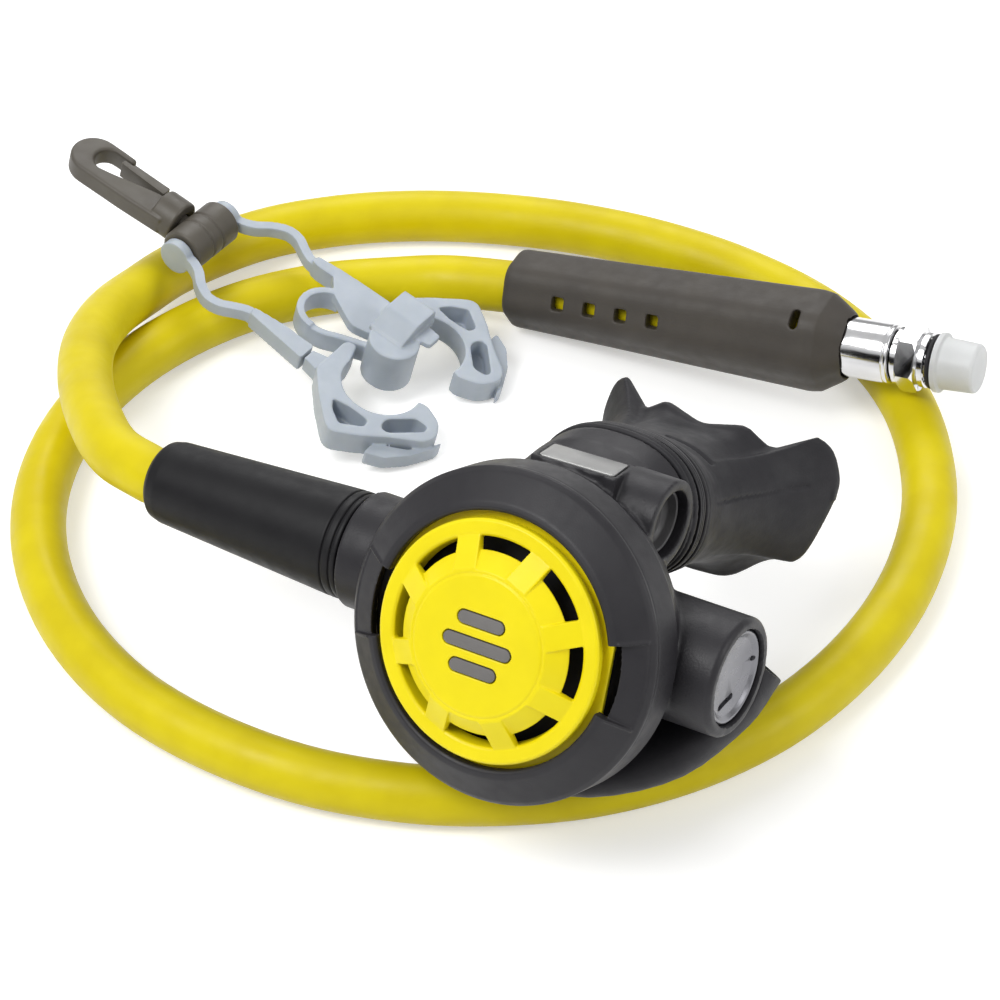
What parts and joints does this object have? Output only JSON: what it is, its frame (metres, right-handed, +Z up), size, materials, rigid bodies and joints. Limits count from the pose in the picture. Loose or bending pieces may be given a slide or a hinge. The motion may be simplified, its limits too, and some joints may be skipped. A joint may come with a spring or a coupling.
{
  "type": "scuba octopus second stage set",
  "caption": "Second stage with purge cover and mouthpiece on a looped low-pressure hose with protector and capped fitting, and a retaining clip with snap hook.",
  "frame": {"origin": "centre of the bottom of the box round the second stage and the clip, on the surface the set lies on", "axes": "+Z up; the camera of the picture looks along +Y and down, with +X to its right"},
  "size_m": [0.2191, 0.2344, 0.0843],
  "materials": {
    "black_plastic": "satin black moulding",
    "black_rubber": "matt black silicone rubber",
    "dark_interior": "matt black",
    "yellow_plastic": "satin yellow",
    "yellow_rubber": "satin yellow rubber",
    "grey_inset": "matt grey",
    "olive_rubber": "matt dark olive",
    "chrome": "polished",
    "brass": "machined",
    "steel": "bright",
    "silver_plate": "satin, left bare",
    "clip_plastic": "satin grey-blue",
    "cap_plastic": "translucent white"
  },
  "bodies": {
    "regulator": {"case": "black_plastic", "cover_ring": "black_plastic", "mouthpiece_tie": "black_plastic", "diaphragm": "black_rubber", "end_plug_o_ring": "black_rubber", "exhaust_tee": "black_rubber", "mouthpiece": "black_rubber", "inlet_o_ring": "black_rubber", "hose_sleeve": "black_rubber", "fitting_o_ring": "black_rubber", "boss_blank": "dark_interior", "hose": "yellow_rubber", "hose_protector": "olive_rubber", "end_plug": "chrome", "inlet_nut": "chrome", "hose_stem": "chrome", "hose_ferrule": "chrome", "hose_fitting": "chrome", "valve_tube": "brass", "orifice": "brass", "spring_collar": "steel", "poppet_spring": "steel", "nameplate": "silver_plate", "slip_washer": "cap_plastic"},
    "purge_button": {"purge_cover": "yellow_plastic", "grip_bar_0": "grey_inset", "grip_bar_1": "grey_inset", "grip_bar_2": "grey_inset"},
    "centre_plate": {"diaphragm_plate": "dark_interior"},
    "valve_lever": {"lever": "steel"},
    "valve_stem": {"poppet": "cap_plastic", "poppet_seat": "black_rubber", "stem_nut": "brass"},
    "exhaust_flap": {"exhaust_valve": "black_rubber"},
    "cap": {"thread_cap": "cap_plastic"},
    "clip": {"clip_frame": "clip_plastic", "clip_arm": "clip_plastic"},
    "left_jaw": {"clip_jaw": "clip_plastic"},
    "barrel": {"hook_barrel": "olive_rubber"},
    "hook": {"snap_hook": "olive_rubber"},
    "gate": {"hook_gate": "olive_rubber"}
  },
  "joints": [
    {"name": "purge_press", "type": "slide", "parent": "regulator", "child": "purge_button", "axis": [0.4881, 0.759, -0.4309], "range_m": [0, 0.0025], "stiffness_N_per_m": 800, "springref_m": -0.004},
    {"name": "diaphragm_travel", "type": "slide", "parent": "regulator", "child": "centre_plate", "axis": [0.4881, 0.759, -0.4309], "range_m": [0, 0.0025]},
    {"name": "lever_tilt", "type": "hinge", "parent": "regulator", "child": "valve_lever", "pos_m": [0.03376, -0.08474, 0.0483], "axis": [-0.1779, -0.3968, -0.9005], "range_deg": [0, 7.2]},
    {"name": "poppet_slide", "type": "slide", "parent": "regulator", "child": "valve_stem", "axis": [0.8544, -0.5162, 0.0586], "range_m": [0, 0.000625]},
    {"name": "exhaust_valve_lift", "type": "slide", "parent": "regulator", "child": "exhaust_flap", "axis": [0.3338, 0.4589, -0.8234], "range_m": [0, 0.0008], "stiffness_N_per_m": 60, "springref_m": -0.002},
    {"name": "thread_cap_pull", "type": "slide", "parent": "regulator", "child": "cap", "axis": [0.9018, -0.4167, 0.1144], "range_m": [0, 0.02]},
    {"name": "clip_lift", "type": "slide", "parent": "regulator", "child": "clip", "axis": [0, 0, 1], "range_m": [0, 0.06]},
    {"name": "jaw_open", "type": "hinge", "parent": "clip", "child": "left_jaw", "pos_m": [-0.02823, 0.05145, 0.00675], "axis": [-0.2128, 0.1473, -0.9659], "range_deg": [0, 8], "stiffness_Nm_per_rad": 1.5, "springref_deg": -2.86},
    {"name": "hook_tilt", "type": "hinge", "parent": "clip", "child": "barrel", "pos_m": [-0.05542, 0.08609, 0.0232], "axis": [0.5693, 0.8221, 0], "range_deg": [0, 100]},
    {"name": "hook_swivel", "type": "hinge", "parent": "barrel", "child": "hook", "pos_m": [-0.06066, 0.08972, 0.02491], "axis": [-0.7941, 0.5499, 0.2588], "continuous": true},
    {"name": "hook_gate_open", "type": "hinge", "parent": "hook", "child": "gate", "pos_m": [-0.06443, 0.09684, 0.02683], "axis": [0.2128, -0.1473, 0.9659], "range_deg": [0, 14], "stiffness_Nm_per_rad": 0.08, "springref_deg": -11.46}
  ],
  "couplings": [
    {"joint": "diaphragm_travel", "follows": "purge_press", "ratio": 1},
    {"joint": "lever_tilt", "follows": "purge_press", "rad_per_m": 50},
    {"joint": "poppet_slide", "follows": "purge_press", "ratio": 0.25}
  ]
}
